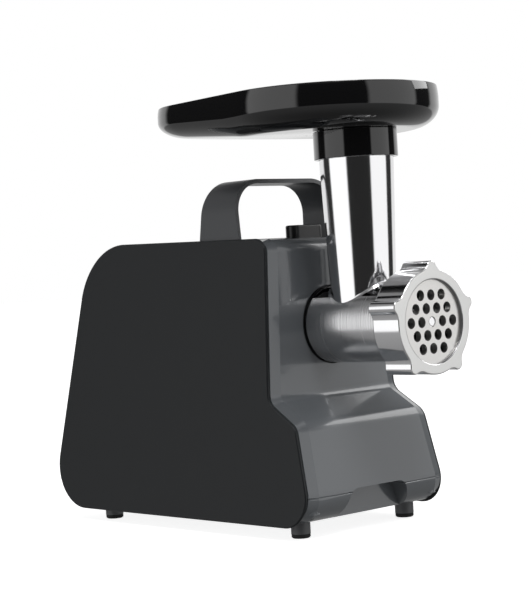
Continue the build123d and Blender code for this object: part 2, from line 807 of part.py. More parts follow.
def gear(y_front, width, axis, module, teeth, turn, hole):
    """A spur gear standing across the machine, hole in its middle."""
    with BuildPart(mode=Mode.PRIVATE) as made:
        with BuildSketch(facing_front(y_front + width)):
            with BuildLine():
                Polyline(*gear_outline(axis, module, teeth, turn), close=True)
            make_face()
            if hole:
                with Locations(axis):
                    Circle(hole, mode=Mode.SUBTRACT)
        extrude(amount=width)
    return made.part


# A gear's tooth points along the line of centres, and its partner's gap faces it.
turn_output = angle_3
turn_second_pinion = angle_3 + 180 + 180 / pinion_3
turn_second_wheel = angle_2
turn_first_pinion = angle_2 + 180 + 180 / pinion_2
turn_first_wheel = angle_1
turn_motor = angle_1 + 180 + 180 / pinion_1

hub_radius = 15.0
gear_pin = 4.0
gear_bore = gear_pin + running_gap
motor_shaft = 4.0

with BuildPart() as output_gear:
    add(gear(plane_3, gear_width[2], output_axis, module_3, wheel_3, turn_output, 0))
    add(ring(plane_3, plane_3 - gear_front + 6, hub_radius))
    add(ring(case_back + 2, case_back + 2 - plane_3 - gear_width[2], 8.0))
    with BuildSketch(facing_front(tail_back + 0.5)):
        with Locations(output_axis):
            Rectangle(drive_square + 2 * slide_gap, drive_square + 2 * slide_gap)
    extrude(amount=tail_reach + 20, mode=Mode.SUBTRACT)
finish(output_gear.part, "output_gear")

with BuildPart() as second_gear:
    add(gear(plane_2, gear_width[1], second_axis, module_2, wheel_2, turn_second_wheel, gear_bore))
    add(gear(plane_3, plane_2 - plane_3, second_axis, module_3, pinion_3, turn_second_pinion, gear_bore))
finish(second_gear.part, "second_gear")

with BuildPart() as first_gear:
    add(gear(plane_1, gear_width[0], first_axis, module_1, wheel_1, turn_first_wheel, gear_bore))
    add(gear(plane_2, plane_1 - plane_2, first_axis, module_2, pinion_2, turn_first_pinion, gear_bore))
finish(first_gear.part, "first_gear")

for axis, name in ((second_axis, "second_gear_pin"), (first_axis, "first_gear_pin")):
    pin_part = ring(case_back + 2.0, case_back + 2.0 - gear_front - 1.0, gear_pin, x=axis[0], z=axis[1])
    finish(pin_part, name)

# ---------------------------------------------------------------- gearbox case and cover
case_spots = [(output_axis, 36.0), (second_axis, 34.0), (first_axis, 34.0), (motor_axis, 16.0)]
screw_ring = 4.0
screw_spots = [
    (output_axis[0] - 30, output_axis[1] + 24),
    (output_axis[0] + 30, output_axis[1] + 24),
    (second_axis[0] + 26, second_axis[1] - 27),
    (first_axis[0] - 32, first_axis[1] - 20),
]


def case_outline(y, grow):
    """The gearbox seen from the front: a taut line round all four gear spaces."""
    with BuildSketch(facing_front(y)) as made:
        for centre, radius in case_spots:
            with Locations(centre):
                Circle(radius + grow)
        make_hull()
    return made.sketch


with BuildPart() as gearbox_case:
    add(extrude(case_outline(case_back, case_wall + 1), amount=case_back - gear_front, mode=Mode.PRIVATE))
    add(
        extrude(case_outline(case_back, 1), amount=case_back - gear_front - case_wall, mode=Mode.PRIVATE),
        mode=Mode.SUBTRACT,
    )
    add(ring(gear_front + case_wall, case_wall + 4.0, hub_radius + 6.0))
    add(ring(gear_front + case_wall, case_wall + 5.0, hub_radius + 3.0), mode=Mode.SUBTRACT)
    for centre in (second_axis, first_axis):
        pin_hole = ring(gear_front + case_wall, case_wall - 1, gear_pin, x=centre[0], z=centre[1])
        add(pin_hole, mode=Mode.SUBTRACT)
    # shelf for the latch's spring
    with BuildSketch(Plane.XY.offset(barrel_height - yoke_outer - 20)):
        with Locations((0, (gear_front + yoke_back - latch_thickness / 2 - 7) / 2)):
            Rectangle(16, gear_front - yoke_back + latch_thickness / 2 + 7)
    extrude(amount=3)
    # screw bosses on the rim
    for spot in screw_spots:
        add(ring(case_back, 12.0, screw_ring, x=spot[0], z=spot[1]))
    for spot in screw_spots:
        add(ring(case_back, 10.0, 1.5, x=spot[0], z=spot[1]), mode=Mode.SUBTRACT)
finish(gearbox_case.part, "gearbox_case")

with BuildPart() as gearbox_cover:
    add(extrude(case_outline(cover_back, case_wall + 1), amount=cover_back - case_back, mode=Mode.PRIVATE))
    for spot in screw_spots:
        add(ring(cover_back, cover_back - case_back, screw_ring, x=spot[0], z=spot[1]))
        add(ring(cover_back, 4.0, 1.5 + seat_gap, x=spot[0], z=spot[1]), mode=Mode.SUBTRACT)
    for centre in (second_axis, first_axis):
        add(ring(case_back + 2, 2.0, gear_pin, x=centre[0], z=centre[1]), mode=Mode.SUBTRACT)
    add(ring(case_back + 2, 2.0, 8.0 + running_gap), mode=Mode.SUBTRACT)
    add(ring(cover_back, 4.0, 9.0, x=motor_axis[0], z=motor_axis[1]), mode=Mode.SUBTRACT)
finish(gearbox_cover.part, "gearbox_cover")

with BuildPart() as gearbox_screws:
    for spot in screw_spots:
        add(ring(cover_back, 12.0, 1.5, x=spot[0], z=spot[1]))
        add(ring(cover_back + 2.0, 2.0, 3.2, x=spot[0], z=spot[1]))
finish(gearbox_screws.part, "gearbox_screws")

output_bush = ring(gear_front + case_wall, case_wall + 4.0, hub_radius + 3.0, hub_radius + running_gap)
finish(output_bush, "output_bush")

# ---------------------------------------------------------------- socket for the grinding head
socket_front = throat_y + front_reach + 2.2
with BuildPart() as barrel_socket:
    add(ring(gear_front, gear_front - socket_front, shank_radius + 4.0))
    add(ring(gear_front, 4.0, shank_radius + 8.0))
    add(ring(gear_front, gear_front - socket_front + 1, shank_radius + slide_gap), mode=Mode.SUBTRACT)
    # slot that the latch's tooth passes through
    with BuildSketch(facing_front(yoke_back + moving_gap)):
        with Locations((0, barrel_height - shank_radius)):
            Rectangle(tooth_width + 2 * moving_gap, 14)
    extrude(amount=latch_thickness + 2 * moving_gap, mode=Mode.SUBTRACT)
finish(barrel_socket.part, "barrel_socket")

# ---------------------------------------------------------------- latch spring
spring_bottom = barrel_height - yoke_outer - 17.0
spring_top = barrel_height - yoke_outer - 1.0
spring_wire = 0.6
spring_y = yoke_back - latch_thickness / 2
with BuildPart() as latch_spring:
    with BuildLine(Plane(origin=(0, spring_y, spring_bottom + spring_wire))) as coil:
        coil_height = spring_top - spring_bottom - 2 * spring_wire
        Helix(pitch=3.2, height=coil_height, radius=spring_radius - spring_wire)
    with BuildSketch(Plane(origin=coil.line @ 0, z_dir=coil.line % 0)):
        Circle(spring_wire)
    sweep(path=coil.line, is_frenet=True)
finish(latch_spring.part, "latch_spring")

# ---------------------------------------------------------------- motor
motor_x, motor_z = motor_axis
stator_front = cover_back + 22.0
stator_length = 38.0
stator_half = 36.0
air_gap = 0.6
core_radius = 20.0
commutator_radius = 11.0
pinion_front = plane_1
shaft_back = stator_front + stator_length + 54.0


def on_motor(y_back, length, outer, inner=0.0):
    return ring(y_back, length, outer, inner, x=motor_x, z=motor_z)


bracket_front = cover_back
rear_bracket = stator_front + stator_length + 42.0
bracket_thickness = 5.0
bearing_outer = 11.0
bolt_x = 30.0

with BuildPart() as motor_stator:
    with BuildSketch(facing_front(stator_front + stator_length)):
        with Locations(motor_axis):
            RectangleRounded(2 * stator_half, 2 * stator_half, 9)
            Circle(core_radius + air_gap, mode=Mode.SUBTRACT)
            # slots for the field coils, left and right of the bore
            with Locations((-25.5, 0), (25.5, 0)):
                RectangleRounded(7, 40, 2, mode=Mode.SUBTRACT)
            with GridLocations(2 * bolt_x, 2 * bolt_x, 2, 2):
                Circle(2.1, mode=Mode.SUBTRACT)
    extrude(amount=stator_length)
finish(motor_stator.part, "motor_stator")

with BuildPart() as field_coils:
    for side in (1, -1):
        with BuildSketch(facing_front(stator_front + stator_length + 9)):
            with Locations((motor_x + side * 25.5, motor_z)):
                RectangleRounded(6, 38, 2)
        extrude(amount=stator_length + 18)
finish(field_coils.part, "field_coils")

with BuildPart() as armature:
    add(on_motor(shaft_back, shaft_back - plane_1 - gear_width[0], motor_shaft))
    add(gear(pinion_front, gear_width[0], motor_axis, module_1, pinion_1, turn_motor, 0))
    with BuildSketch(facing_front(stator_front + stator_length)):
        with Locations(motor_axis):
            Circle(core_radius)
            with PolarLocations(core_radius - 1.0, 12):
                Rectangle(4.0, 2.2, mode=Mode.SUBTRACT)
    extrude(amount=stator_length)
    add(on_motor(stator_front, 8.0, 16.0))
    add(on_motor(stator_front + stator_length + 8.0, 8.0, 16.0))
    add(on_motor(stator_front + stator_length + 26.0, 18.0, commutator_radius))
finish(armature.part, "armature")

with BuildPart() as motor_fan:
    fan_back = shaft_back - 1.0
    add(on_motor(fan_back, 8.0, 7.0))
    add(on_motor(fan_back, 1.6, 31.0))
    with BuildSketch(facing_front(fan_back)):
        with Locations(motor_axis):
            with PolarLocations(18.5, 10):
                Rectangle(24, 1.6, rotation=12)
    extrude(amount=8.0)
    add(on_motor(fan_back + 1, 12.0, motor_shaft), mode=Mode.SUBTRACT)
finish(motor_fan.part, "motor_fan")

for name, y_back, length in (
    ("front_motor_bracket", bracket_front + bracket_thickness, bracket_thickness),
    ("rear_motor_bracket", rear_bracket, bracket_thickness),
):
    with BuildPart() as motor_bracket:
        with BuildSketch(facing_front(y_back)):
            with Locations(motor_axis):
                RectangleRounded(2 * stator_half, 26, 6)
                Circle(20)
                with Locations((-bolt_x, 0), (bolt_x, 0)):
                    Rectangle(12, 2 * stator_half)
                with GridLocations(2 * bolt_x, 2 * bolt_x, 2, 2):
                    Circle(2.1, mode=Mode.SUBTRACT)
                Circle(bearing_outer, mode=Mode.SUBTRACT)
        extrude(amount=length)
    finish(motor_bracket.part, name)

for name, y_back in (
    ("front_motor_bearing", bracket_front + bracket_thickness),
    ("rear_motor_bearing", rear_bracket),
):
    finish(on_motor(y_back, bracket_thickness, bearing_outer, motor_shaft + running_gap), name)

with BuildPart() as motor_bolts:
    for x in (-bolt_x, bolt_x):
        for z in (-bolt_x, bolt_x):
            at = (motor_x + x, motor_z + z)
            add(ring(rear_bracket, rear_bracket - bracket_front, 2.0, x=at[0], z=at[1]))
            add(ring(rear_bracket + 3.0, 3.0, 3.8, x=at[0], z=at[1]))
finish(motor_bolts.part, "motor_bolts")

brush_y = stator_front + stator_length + 17.0


def brush_plane(side, reach):
    """A plane facing away from the motor's shaft, to one side of it."""
    return Plane(
        origin=(motor_x + side * reach, brush_y, motor_z),
        x_dir=(0, 1, 0),
        z_dir=(side, 0, 0),
    )


with BuildPart() as brush_holders:
    for side in (1, -1):
        with BuildSketch(brush_plane(side, 13.0)):
            Rectangle(12, 12)
            Rectangle(7.4, 7.4, mode=Mode.SUBTRACT)
        extrude(amount=20.0)
finish(brush_holders.part, "brush_holders")

with BuildPart() as carbon_brushes:
    for side in (1, -1):
        with BuildSketch(brush_plane(side, commutator_radius + 0.3)):
            Rectangle(7, 7)
        extrude(amount=16.0)
finish(carbon_brushes.part, "carbon_brushes")

# Saddle that carries the stator on the base pan's floor.
with BuildPart() as motor_cradle:
    with BuildSketch(facing_front(stator_front + stator_length - 3)):
        with Locations((motor_x, (floor_top + motor_z - stator_half) / 2)):
            Rectangle(2 * stator_half + 8, motor_z - stator_half - floor_top)
        for side in (1, -1):
            with Locations((motor_x + side * (stator_half + 2), motor_z - stator_half + 4)):
                Rectangle(4, 12)
    extrude(amount=stator_length - 6)
    chamfer(motor_cradle.edges().filter_by(Axis.Y).group_by(Axis.Z)[-1], 1.0)
finish(motor_cradle.part, "motor_cradle")

# ---------------------------------------------------------------- controls and wiring points
board_top = floor_top + board_post_height
board_thickness = 1.6
board_mid = throat_y + 244.0
with BuildPart() as control_board:
    with BuildSketch(Plane.XY.offset(board_top)):
        with Locations((0, board_mid)):
            Rectangle(72, 40)
        with Locations(*board_posts):
            Circle(1.7, mode=Mode.SUBTRACT)
    extrude(amount=board_thickness)
finish(control_board.part, "control_board")

with BuildPart() as suppression_capacitor:
    with BuildSketch(Plane.XY.offset(board_top + board_thickness)):
        with Locations((-12, board_mid)):
            RectangleRounded(26, 12, 1.5)
    extrude(amount=18)
finish(suppression_capacitor.part, "suppression_capacitor")

with BuildPart() as board_screws:
    for x, y in board_posts:
        with BuildSketch(Plane.XY.offset(board_top - 8)):
            with Locations((x, y)):
                Circle(1.5)
        extrude(amount=8 + board_thickness)
        with BuildSketch(Plane.XY.offset(board_top + board_thickness)):
            with Locations((x, y)):
                Circle(2.8)
        extrude(amount=1.8)
finish(board_screws.part, "board_screws")

# Rocker switch: a frame clipped into the back wall and a rocker on a cross axis.
rocker_sink = 5.0
rocker_half = 8.0
rocker_width = 20.0
pivot_radius = 1.5
pivot_length = rocker_width + 2 * moving_gap + 3.0
rocker_place = back_plane(switch_height, rocker_sink)


def rocker_side(along):
    """A plane square to the rocker's axis, along that axis from its middle."""
    return Plane(
        origin=rocker_place.origin + rocker_place.x_dir * along,
        x_dir=rocker_place.z_dir,
        z_dir=rocker_place.x_dir,
    )


with BuildPart() as switch_frame:
    with BuildSketch(back_plane(switch_height)):
        RectangleRounded(switch_width + 4, switch_tall + 4, 2)
    extrude(amount=1.6)
    with BuildSketch(back_plane(switch_height)):
        Rectangle(switch_width - 2 * slide_gap, switch_tall - 2 * slide_gap)
    extrude(amount=-18)
    with BuildSketch(back_plane(switch_height, -2)):
        Rectangle(rocker_width + 2 * moving_gap, 2 * rocker_half + 3)
    extrude(amount=-14, mode=Mode.SUBTRACT)
    with BuildSketch(rocker_side(pivot_length / 2 + slide_gap)):
        Circle(pivot_radius + running_gap)
    extrude(amount=-(pivot_length + 2 * slide_gap), mode=Mode.SUBTRACT)
finish(switch_frame.part, "switch_frame")

with BuildPart() as power_rocker:
    with BuildSketch(rocker_side(pivot_length / 2)):
        Circle(pivot_radius)
    extrude(amount=-pivot_length)
    with BuildSketch(rocker_side(rocker_width / 2)):
        with BuildLine():
            Polyline(
                (-3, rocker_half),
                (7.2, rocker_half),
                (5.2, 0),
                (7.2, -rocker_half),
                (-3, -rocker_half),
                (-6, 0),
                close=True,
            )
        make_face()
    extrude(amount=-rocker_width)
finish(power_rocker.part, "power_rocker")

# Grommet that the mains lead passes through.
lead_radius = 3.6
with BuildPart() as cord_gland:
    with BuildSketch(back_plane(gland_height)):
        Circle(gland_radius + 2.5)
    extrude(amount=3)
    with BuildSketch(back_plane(gland_height)):
        Circle(gland_radius)
    extrude(amount=-8)
    with BuildSketch(back_plane(gland_height, -4)):
        Circle(lead_radius)
    extrude(amount=-20, mode=Mode.SUBTRACT)
finish(cord_gland.part, "cord_gland")

# ---------------------------------------------------------------- remaining fasteners
with BuildPart() as handle_screws:
    for side in (1, -1):
        seat = side_plane(side, panel_thickness, handle_mid, screw_height)
        with BuildSketch(seat.offset(screw_bite)):
            with Locations(*leg_screws):
                Circle(screw_radius)
        extrude(amount=-(screw_bite + leg_inner - panel_thickness))
        with BuildSketch(seat.offset(panel_thickness - leg_inner)):
            with Locations(*leg_screws):
                Circle(2.8)
        extrude(amount=-2.0)
finish(handle_screws.part, "handle_screws")

with BuildPart() as case_screws:
    for reach in case_screw_reach:
        for x in (case_screw_x, -case_screw_x):
            with BuildSketch(Plane.XY.offset(floor_top + 6)):
                with Locations((x, throat_y + reach)):
                    Circle(1.5)
            extrude(amount=seam_height + 9 - floor_top - 6)
finish(case_screws.part, "case_screws")
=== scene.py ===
# %% [markdown]
# # An electric meat grinder
# The machine is a moulded charcoal housing between two matt black side panels. A polished
# aluminium head is plugged into its front, a gloss black tray sits on the head's hopper
# tube, and a bent plastic strap arches over the top as a carrying handle.
# The CAD model is loaded first as a fixed frame. Pieces that are seen are made again here
# with softer edges and better curves, and each one rides on the CAD body it belongs to.

# %% Load the frame
import bmesh
import bpy
import json
from math import asin, cos, pi, radians, sin
from mathutils import Matrix, Vector


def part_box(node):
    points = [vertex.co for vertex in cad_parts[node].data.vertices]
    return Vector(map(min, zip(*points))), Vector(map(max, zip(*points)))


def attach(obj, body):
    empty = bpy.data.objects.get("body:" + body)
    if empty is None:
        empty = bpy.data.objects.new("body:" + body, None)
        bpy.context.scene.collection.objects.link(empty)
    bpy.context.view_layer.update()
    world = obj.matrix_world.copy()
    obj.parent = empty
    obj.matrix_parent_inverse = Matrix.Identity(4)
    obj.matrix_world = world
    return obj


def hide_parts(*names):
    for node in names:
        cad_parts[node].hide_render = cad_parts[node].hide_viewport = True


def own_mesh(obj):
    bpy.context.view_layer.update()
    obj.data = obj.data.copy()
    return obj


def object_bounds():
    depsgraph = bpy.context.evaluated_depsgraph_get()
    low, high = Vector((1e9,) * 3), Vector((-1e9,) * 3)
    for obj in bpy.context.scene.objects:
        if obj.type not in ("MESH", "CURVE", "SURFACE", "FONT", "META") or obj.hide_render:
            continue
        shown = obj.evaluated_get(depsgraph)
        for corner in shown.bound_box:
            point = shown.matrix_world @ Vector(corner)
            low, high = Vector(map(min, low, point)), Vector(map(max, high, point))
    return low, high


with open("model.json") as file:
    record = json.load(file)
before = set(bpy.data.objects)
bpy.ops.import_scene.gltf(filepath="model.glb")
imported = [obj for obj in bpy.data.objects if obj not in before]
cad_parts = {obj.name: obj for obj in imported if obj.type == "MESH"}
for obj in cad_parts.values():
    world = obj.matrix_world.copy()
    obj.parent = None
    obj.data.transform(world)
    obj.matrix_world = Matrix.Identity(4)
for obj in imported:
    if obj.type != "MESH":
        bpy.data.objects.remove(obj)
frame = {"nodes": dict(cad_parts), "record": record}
mm = 0.001
cad_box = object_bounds()
joints = {joint["name"]: joint for joint in frame["record"]["behaviour"]["joints"]}
mounts = {mount["name"]: mount for mount in frame["record"]["mounts"]}
throat_y = mounts["hopper_throat"]["pos_m"][1]
barrel_z = joints["auger_spin"]["pos_m"][2]
print("throat at y", round(throat_y, 4), "barrel axis at z", round(barrel_z, 4))

# %% [markdown]
# ## Camera
# The machine is seen from the front left, a little above the middle of its side, through a
# long lens. The camera could be aimed with a constraint, but a plain direction keeps the
# slight roll exact: the three axes of the view are worked out and put in its matrix.

# %% Camera
view_turn, view_dip, view_roll = radians(42.88), radians(1.05), radians(-3.29)
view_place = Vector((-0.8973, -0.8626 + throat_y, 0.1914))
lens_mm, sensor_mm = 104.1, 36.0

look = Vector((sin(view_turn) * cos(view_dip), cos(view_turn) * cos(view_dip), -sin(view_dip)))
level = look.cross(Vector((0, 0, 1))).normalized()
upright = level.cross(look)
view_right = cos(view_roll) * level + sin(view_roll) * upright
view_up = cos(view_roll) * upright - sin(view_roll) * level

camera_data = bpy.data.cameras.new("camera")
camera_data.lens = lens_mm
camera_data.sensor_width = sensor_mm
camera_data.clip_end = 50
camera = bpy.data.objects.new("camera", camera_data)
bpy.context.scene.collection.objects.link(camera)
axes = Matrix((view_right, view_up, -look)).transposed().to_4x4()
camera.matrix_world = Matrix.Translation(view_place) @ axes
bpy.context.scene.camera = camera
bpy.context.scene.view_settings.view_transform = "Standard"
print("camera", [round(v, 3) for v in view_place], "looks", [round(v, 3) for v in look])

# %% [markdown]
# ## Floor and studio light
# The machine stands in a white tent of soft boxes. Its gloss surfaces then show broad
# white fields with dark gaps between them. The sky is built from those fields as a
# gradient round the horizon, so that every polished piece mirrors the same room, and two
# soft lamps give the forms their shading.

# %% Floor
floor_height = cad_box[0][2]
floor_half = 12.0
floor_drop = 0.2 * mm
bm = bmesh.new()
bmesh.ops.create_grid(bm, x_segments=1, y_segments=1, size=floor_half)
bmesh.ops.translate(bm, verts=bm.verts, vec=(0, 0, floor_height - floor_drop))
floor_mesh = bpy.data.meshes.new("floor")
bm.to_mesh(floor_mesh)
bm.free()
floor = bpy.data.objects.new("floor", floor_mesh)
bpy.context.scene.collection.objects.link(floor)
floor_paint = bpy.data.materials.new("white_floor")
floor_paint.use_nodes = True
floor_tree = floor_paint.node_tree
floor_shader = floor_tree.nodes["Principled BSDF"]
floor_shader.inputs["Base Color"].default_value = (0.7, 0.7, 0.7, 1)
floor_shader.inputs["Roughness"].default_value = 0.7
floor_shader.inputs["Specular IOR Level"].default_value = 0.0
floor_shader.inputs["Emission Color"].default_value = (1, 1, 1, 1)
floor_shader.inputs["Emission Strength"].default_value = 0.86
# only what looks straight at the floor sees it; mirrored light comes from the tent below
dim_floor = floor_tree.nodes.new("ShaderNodeBsdfTransparent")
floor_seen = floor_tree.nodes.new("ShaderNodeLightPath")
floor_mix = floor_tree.nodes.new("ShaderNodeMixShader")
floor_tree.links.new(floor_seen.outputs["Is Camera Ray"], floor_mix.inputs["Fac"])
floor_tree.links.new(dim_floor.outputs[0], floor_mix.inputs[1])
floor_tree.links.new(floor_shader.outputs[0], floor_mix.inputs[2])
floor_tree.links.new(floor_mix.outputs[0], floor_tree.nodes["Material Output"].inputs["Surface"])
floor_mesh.materials.append(floor_paint)
print("floor at", round(floor_height, 4))

# %% Sky of soft boxes
world = bpy.data.worlds.new("white_tent")
bpy.context.scene.world = world
world.use_nodes = True
sky = world.node_tree
sky.nodes.clear()
direction = sky.nodes.new("ShaderNodeTexCoord")


def sky_dot(axis):
    """How far the sky direction leans towards a fixed axis."""
    node = sky.nodes.new("ShaderNodeVectorMath")
    node.operation = "DOT_PRODUCT"
    node.inputs[1].default_value = axis
    sky.links.new(direction.outputs["Generated"], node.inputs[0])
    return node.outputs["Value"]


front_axis = Vector((-sin(view_turn), -cos(view_turn), 0))
right_axis = Vector((cos(view_turn), -sin(view_turn), 0))
turn = sky.nodes.new("ShaderNodeMath")
turn.operation = "ARCTAN2"
sky.links.new(sky_dot(right_axis), turn.inputs[0])
sky.links.new(sky_dot(front_axis), turn.inputs[1])
share = sky.nodes.new("ShaderNodeMapRange")
share.inputs["From Min"].default_value = -pi
share.inputs["From Max"].default_value = pi
sky.links.new(turn.outputs[0], share.inputs["Value"])


def band_ramp(steps, span):
    """A colour ramp from (angle in degrees, brightness) steps across a span of degrees."""
    node = sky.nodes.new("ShaderNodeValToRGB")
    node.color_ramp.interpolation = "LINEAR"
    low, high = span
    for index, (angle, bright) in enumerate(steps):
        place = (angle - low) / (high - low)
        if index < 2:
            step = node.color_ramp.elements[index]
            step.position = place
        else:
            step = node.color_ramp.elements.new(place)
        step.color = (bright, bright, bright, 1)
    return node


# Angles are counted from the side that is seen first, to its right.
tent_steps = (
    (-180, 0.85),
    (-131, 0.85),
    (-122, 0.03),
    (-98, 0.03),
    (-93, 1.15),
    (-37, 1.15),
    (-33, 0.02),
    (38, 0.02),
    (42, 1.05),
    (98, 1.05),
    (102, 0.03),
    (125, 0.03),
    (131, 0.85),
    (180, 0.85),
)
bands = band_ramp(tent_steps, (-180, 180))
sky.links.new(share.outputs["Result"], bands.inputs["Fac"])

# By the sine of the height angle: dim below, full at eye level, dim above, bright overhead.
height_steps = (
    (-1.0, 0.14),
    (-0.6, 0.28),
    (-0.24, 0.34),
    (-0.19, 1.0),
    (0.42, 1.0),
    (0.6, 0.22),
    (0.86, 0.22),
    (0.93, 1.3),
    (1.0, 1.3),
)
height_share = sky.nodes.new("ShaderNodeMapRange")
height_share.inputs["From Min"].default_value = -1
height_share.inputs["From Max"].default_value = 1
sky.links.new(sky_dot(Vector((0, 0, 1))), height_share.inputs["Value"])
levels = band_ramp(height_steps, (-1, 1))
sky.links.new(height_share.outputs["Result"], levels.inputs["Fac"])

# The bands stand only round eye level. The roof above and the table below are even fields.
def even_field(colour, first, last):
    """A sky colour, changed to plain white as the height's sine goes from first to last."""
    amount = sky.nodes.new("ShaderNodeMapRange")
    amount.inputs["From Min"].default_value = first
    amount.inputs["From Max"].default_value = last
    sky.links.new(sky_dot(Vector((0, 0, 1))), amount.inputs["Value"])
    mixed = sky.nodes.new("ShaderNodeMix")
    mixed.data_type = "RGBA"
    sky.links.new(amount.outputs["Result"], mixed.inputs[0])
    sky.links.new(colour, mixed.inputs[6])
    mixed.inputs[7].default_value = (1, 1, 1, 1)
    return mixed.outputs[2]


roof_from, roof_whole = 0.42, 0.6
table_from, table_whole = -0.19, -0.24
under_roof = even_field(bands.outputs["Color"], roof_from, roof_whole)
evened = even_field(under_roof, table_from, table_whole)
roof = sky.nodes.new("ShaderNodeMix")
roof.data_type = "RGBA"
roof.blend_type = "MULTIPLY"
roof.inputs[0].default_value = 1
sky.links.new(evened, roof.inputs[6])
sky.links.new(levels.outputs["Color"], roof.inputs[7])

seen = sky.nodes.new("ShaderNodeLightPath")
tent = sky.nodes.new("ShaderNodeBackground")
tent.inputs["Strength"].default_value = 1.0
sky.links.new(roof.outputs[2], tent.inputs["Color"])
paper = sky.nodes.new("ShaderNodeBackground")
paper.inputs["Color"].default_value = (1, 1, 1, 1)
choose = sky.nodes.new("ShaderNodeMixShader")
sky.links.new(seen.outputs["Is Camera Ray"], choose.inputs["Fac"])
sky.links.new(tent.outputs[0], choose.inputs[1])
sky.links.new(paper.outputs[0], choose.inputs[2])
sky_end = sky.nodes.new("ShaderNodeOutputWorld")
sky.links.new(choose.outputs[0], sky_end.inputs["Surface"])
print("sky steps", len(tent_steps))

# %% Soft lamps
lamp_target = Vector((0, 0, 0.15))
lamp_size = 0.7


def soft_lamp(name, place, power):
    """A square lamp at place that faces the middle of the machine."""
    data = bpy.data.lights.new(name, "AREA")
    data.shape = "SQUARE"
    data.size = lamp_size
    data.energy = power
    lamp = bpy.data.objects.new(name, data)
    bpy.context.scene.collection.objects.link(lamp)
    aim = (lamp_target - Vector(place)).to_track_quat("-Z", "Y")
    lamp.matrix_world = Matrix.Translation(place) @ aim.to_matrix().to_4x4()
    return lamp


soft_lamp("key_lamp", (-0.4, -1.1, 1.8), 12)
soft_lamp("fill_lamp", (1.3, -0.6, 0.9), 5)
print("lamps placed")

# %% [markdown]
# ## Shared surface effects
# Moulded and machined surfaces are never perfectly even. One group of nodes gives a soft
# mottling that changes the roughness a little from place to place, and another gives a
# fine grain as a bump. They are built once and placed in each material with its own
# values.

# %% Node groups
def new_group(name, inputs, outputs):
    """An empty shader node group with number inputs and the outputs asked for."""
    group = bpy.data.node_groups.new(name, "ShaderNodeTree")
    for label, value in inputs:
        socket = group.interface.new_socket(label, in_out="INPUT", socket_type="NodeSocketFloat")
        socket.default_value = value
    for label, kind in outputs:
        group.interface.new_socket(label, in_out="OUTPUT", socket_type=kind)
    start = group.nodes.new("NodeGroupInput")
    end = group.nodes.new("NodeGroupOutput")
    place = group.nodes.new("ShaderNodeTexCoord")
    return group, start, end, place.outputs["Object"]


def math_node(tree, operation, first, second):
    """A Math node; each input is a socket or a number."""
    node = tree.nodes.new("ShaderNodeMath")
    node.operation = operation
    for index, value in enumerate((first, second)):
        if isinstance(value, (int, float)):
            node.inputs[index].default_value = value
        else:
            tree.links.new(value, node.inputs[index])
    return node.outputs[0]


mottle, start, end, place = new_group(
    "mottle",
    (("Scale", 30.0), ("Base", 0.3), ("Spread", 0.1)),
    (("Roughness", "NodeSocketFloat"),),
)
cloud = mottle.nodes.new("ShaderNodeTexNoise")
cloud.inputs["Detail"].default_value = 4
mottle.links.new(place, cloud.inputs["Vector"])
mottle.links.new(start.outputs["Scale"], cloud.inputs["Scale"])
centred = math_node(mottle, "SUBTRACT", cloud.outputs["Fac"], 0.5)
spread = math_node(mottle, "MULTIPLY", centred, start.outputs["Spread"])
mottle.links.new(math_node(mottle, "ADD", spread, start.outputs["Base"]), end.inputs["Roughness"])

grain, start, end, place = new_group(
    "grain",
    (("Scale", 900.0), ("Depth", 0.1)),
    (("Normal", "NodeSocketVector"),),
)
speck = grain.nodes.new("ShaderNodeTexNoise")
speck.inputs["Detail"].default_value = 2
grain.links.new(place, speck.inputs["Vector"])
grain.links.new(start.outputs["Scale"], speck.inputs["Scale"])
bump = grain.nodes.new("ShaderNodeBump")
bump.inputs["Distance"].default_value = 0.0002
grain.links.new(start.outputs["Depth"], bump.inputs["Strength"])
grain.links.new(speck.outputs["Fac"], bump.inputs["Height"])
grain.links.new(bump.outputs["Normal"], end.inputs["Normal"])
print("groups", [group.name for group in bpy.data.node_groups])

# %% Plastics
def place_group(tree, group, **values):
    """A node that uses a shared group with these input values."""
    node = tree.nodes.new("ShaderNodeGroup")
    node.node_tree = group
    for label, value in values.items():
        node.inputs[label].default_value = value
    return node


def finish_of(
    name, color, roughness, spread=0.04, metallic=0.0, coat=0.0, specular=0.5, bump=0.0, scale=900
):
    """A Principled material with mottled roughness and, where bump isn't 0, a fine grain."""
    paint = bpy.data.materials.new(name)
    paint.use_nodes = True
    tree = paint.node_tree
    shader = tree.nodes["Principled BSDF"]
    shader.inputs["Base Color"].default_value = (*color, 1)
    shader.inputs["Metallic"].default_value = metallic
    shader.inputs["Coat Weight"].default_value = coat
    shader.inputs["Coat Roughness"].default_value = 0.03
    shader.inputs["Specular IOR Level"].default_value = specular
    rough = place_group(tree, mottle, Scale=40.0, Base=roughness, Spread=spread)
    tree.links.new(rough.outputs["Roughness"], shader.inputs["Roughness"])
    if bump:
        texture = place_group(tree, grain, Scale=float(scale), Depth=bump)
        tree.links.new(texture.outputs["Normal"], shader.inputs["Normal"])
    return paint


